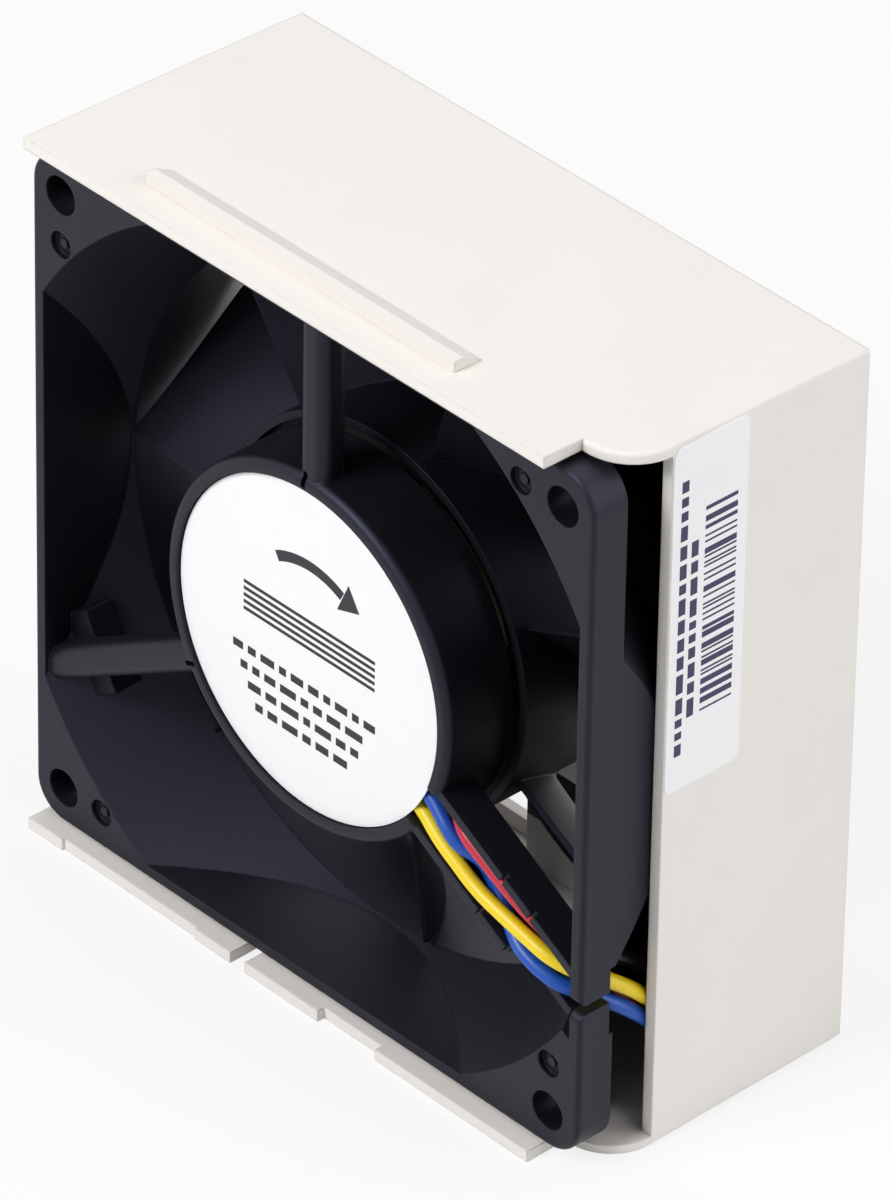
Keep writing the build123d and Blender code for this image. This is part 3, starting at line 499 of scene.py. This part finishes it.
print_shapes(
    "sticker_print", sticker_print,
    lambda right, up, lift: Vector((sticker_face + lift * MM, (sticker_middle + right) * MM, up * MM)),
    indigo_ink,
)

# Stage: a plain pale floor that keeps a faint shadow, under a white world.
# The camera, reflections and rays through clear pieces see both as white, with no more light on the object.
floor_size = 6.0
floor_white_share = 0.8
world_fill = 0.08


def background_rays(tree):
    """A socket that is 1 for rays from the camera, from reflections and through clear pieces, and else 0."""
    rays = add_node(tree, "ShaderNodeLightPath").outputs
    seen = add_node(
        tree, "ShaderNodeMath", {0: rays["Is Camera Ray"], 1: rays["Is Glossy Ray"]}, operation="MAXIMUM"
    )
    shown = add_node(
        tree, "ShaderNodeMath", {0: seen.outputs[0], 1: rays["Is Transmission Ray"]}, operation="MAXIMUM"
    )
    return shown.outputs[0]


bpy.ops.mesh.primitive_plane_add(size=floor_size, location=(0, 0, cad_box[0][2]))
floor = bpy.context.object
floor.name = "studio_floor"
floor_material, tree, surface, place = new_finish("studio_floor_pale")
surface.inputs["Base Color"].default_value = linear("EDEDED")
surface.inputs["Roughness"].default_value = 0.8
share = add_node(
    tree, "ShaderNodeMath", {0: background_rays(tree), 1: floor_white_share}, operation="MULTIPLY"
)
white = add_node(tree, "ShaderNodeEmission", {"Color": (1, 1, 1, 1), "Strength": 1.0})
mixed = add_node(
    tree, "ShaderNodeMixShader", {0: share.outputs[0], 1: surface.outputs[0], 2: white.outputs[0]}
)
tree.links.new(mixed.outputs[0], tree.nodes["Material Output"].inputs["Surface"])
floor.data.materials.append(floor_material)

world = bpy.data.worlds.new("studio_world")
bpy.context.scene.world = world
world.use_nodes = True
tree = world.node_tree
strength = add_node(
    tree, "ShaderNodeMapRange", {"Value": background_rays(tree), "To Min": world_fill, "To Max": 1.0}
)
background = tree.nodes["Background"]
background.inputs["Color"].default_value = (1, 1, 1, 1)
tree.links.new(strength.outputs["Result"], background.inputs["Strength"])

# Studio lamps: a soft box overhead, one towards the wall, and the main one above and just left of the front.
# All three are square area lamps aimed at the middle of the object.
centre = Vector([(cad_box[0][i] + cad_box[1][i]) / 2 for i in range(3)])


def soft_box(name, place, size, power):
    """A square lamp aimed at the middle of the object."""
    lamp = bpy.data.lights.new(name, "AREA")
    lamp.size = size
    lamp.energy = power
    lamp_object = bpy.data.objects.new(name, lamp)
    lamp_object.location = place
    lamp_object.rotation_euler = (centre - Vector(place)).to_track_quat("-Z", "Y").to_euler()
    bpy.context.scene.collection.objects.link(lamp_object)


soft_box("overhead_box", (-0.10, 0.20, 0.80), 0.8, 2.7)
soft_box("wall_box", (0.70, 0.34, 0.34), 1.0, 5.3)
soft_box("front_box", (-0.15, -0.62, 0.54), 0.4, 5.8)

# Camera: at the photograph's viewing angle, from about a metre away through a long lens.
# Its place, roll and lens come from a camera fitted to the fan's holes and the carrier's edges.
camera_azimuth = math.radians(46.56)
camera_elevation = math.radians(35.05)
camera_roll = math.radians(1.0685)
camera_distance = 1.094
camera_aim = Vector((7.18, 12.10, 4.43)) * MM
camera_sensor_mm = 36.0
camera_lens_mm = 336.35
camera_reach = 20.0
back = Vector((
    math.sin(camera_azimuth) * math.cos(camera_elevation),
    -math.cos(camera_azimuth) * math.cos(camera_elevation),
    math.sin(camera_elevation),
))
level_right = Vector((math.cos(camera_azimuth), math.sin(camera_azimuth), 0))
level_up = back.cross(level_right)
right = level_right * math.cos(camera_roll) + level_up * math.sin(camera_roll)
up = back.cross(right)
camera = bpy.data.cameras.new("photo_camera")
camera.sensor_width = camera_sensor_mm
camera.lens = camera_lens_mm
camera.clip_end = camera_reach
camera_object = bpy.data.objects.new("photo_camera", camera)
camera_place = camera_aim + back * camera_distance
camera_turn = Matrix((right, up, back)).transposed().to_4x4()
camera_object.matrix_world = Matrix.Translation(camera_place) @ camera_turn
bpy.context.scene.collection.objects.link(camera_object)
bpy.context.scene.camera = camera_object
bpy.context.scene.view_settings.view_transform = "Standard"
